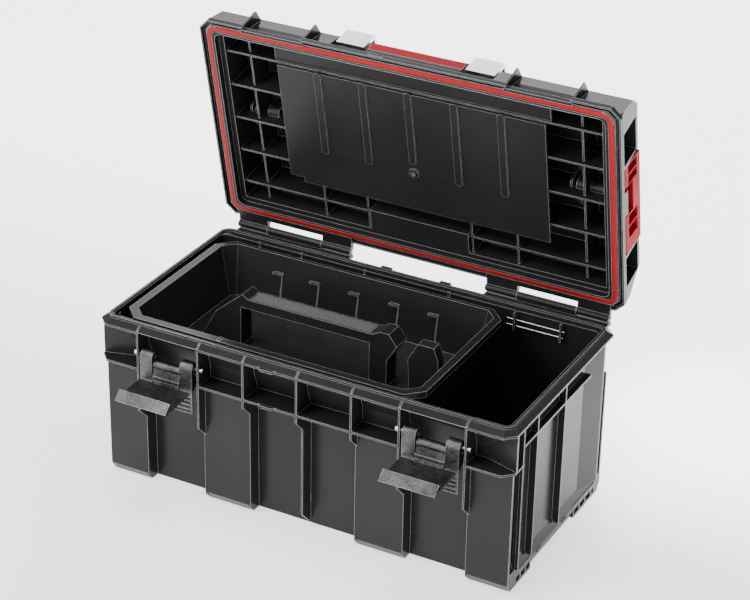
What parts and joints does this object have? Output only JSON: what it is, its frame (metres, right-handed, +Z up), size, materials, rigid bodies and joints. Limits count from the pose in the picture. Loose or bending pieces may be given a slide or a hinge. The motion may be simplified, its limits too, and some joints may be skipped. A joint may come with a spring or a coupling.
{
  "type": "toolbox",
  "caption": "Portable plastic toolbox with ribbed base, hinged lid on draw latches, sealing gasket, folding carry handle and lift-out tray with its own grip.",
  "frame": {"origin": "Centre of the base's footprint, on the surface it stands on", "axes": "X along the box, +X to the right of somebody facing the latches; the latches face -Y; +Z up"},
  "size_m": [0.454, 0.3375, 0.4314],
  "materials": {
    "body_plastic": "satin",
    "latch_steel": "satin",
    "pin_steel": "satin",
    "red_plastic": "gloss",
    "gasket_rubber": "matte",
    "handle_aluminium": "satin",
    "grip_rubber": "matte"
  },
  "bodies": {
    "base": {"base_shell": "body_plastic", "wall_rail_rods": "pin_steel", "hinge_pin_left": "pin_steel", "hinge_pin_right": "pin_steel", "latch_pivots_left": "pin_steel", "latch_pivots_right": "pin_steel"},
    "lid": {"lid_shell": "body_plastic", "lid_gasket": "gasket_rubber", "lid_inner_panel": "body_plastic", "panel_screw": "pin_steel", "handle_pins": "pin_steel", "side_lock_pin_left": "pin_steel", "side_lock_pin_right": "pin_steel"},
    "carry_handle": {"handle_straps": "handle_aluminium", "handle_crossbar": "pin_steel", "handle_grip": "body_plastic", "handle_badge": "red_plastic"},
    "lever_left": {"latch_lever_left": "latch_steel", "latch_hook_pin_left": "pin_steel"},
    "lever_right": {"latch_lever_right": "latch_steel", "latch_hook_pin_right": "pin_steel"},
    "hook_left": {"latch_hook_left": "latch_steel"},
    "hook_right": {"latch_hook_right": "latch_steel"},
    "lock_left": {"side_lock_left": "red_plastic"},
    "lock_right": {"side_lock_right": "red_plastic"},
    "tray": {"tray": "body_plastic", "tray_grip_insert": "grip_rubber"}
  },
  "joints": [
    {"name": "lid_hinge", "type": "hinge", "parent": "base", "child": "lid", "pos_m": [0, 0.129, 0.1809], "axis": [-1, 0, 0], "range_deg": [-78, 27]},
    {"name": "handle_pivot", "type": "hinge", "parent": "lid", "child": "carry_handle", "pos_m": [0, 0.1392, 0.3354], "axis": [-1, 0, 0], "range_deg": [0, 90]},
    {"name": "tray_lift", "type": "slide", "parent": "base", "child": "tray", "axis": [0, 0, 1], "range_m": [0, 0.12]},
    {"name": "lever_left_pivot", "type": "hinge", "parent": "base", "child": "lever_left", "pos_m": [-0.14355, -0.115, 0.152], "axis": [-1, 0, 0], "range_deg": [0, 100]},
    {"name": "hook_left_pivot", "type": "hinge", "parent": "lever_left", "child": "hook_left", "pos_m": [-0.14355, -0.116, 0.145], "axis": [1, 0, 0], "range_deg": [-105, 0]},
    {"name": "lock_left_pivot", "type": "hinge", "parent": "lid", "child": "lock_left", "pos_m": [-0.218, 0.11994, 0.30575], "axis": [0, -0.2079, 0.9781], "range_deg": [0, 80]},
    {"name": "lever_right_pivot", "type": "hinge", "parent": "base", "child": "lever_right", "pos_m": [0.14355, -0.115, 0.152], "axis": [-1, 0, 0], "range_deg": [0, 100]},
    {"name": "hook_right_pivot", "type": "hinge", "parent": "lever_right", "child": "hook_right", "pos_m": [0.14355, -0.116, 0.145], "axis": [1, 0, 0], "range_deg": [-105, 0]},
    {"name": "lock_right_pivot", "type": "hinge", "parent": "lid", "child": "lock_right", "pos_m": [0.218, 0.11994, 0.30575], "axis": [0, 0.2079, -0.9781], "range_deg": [0, 80]}
  ]
}
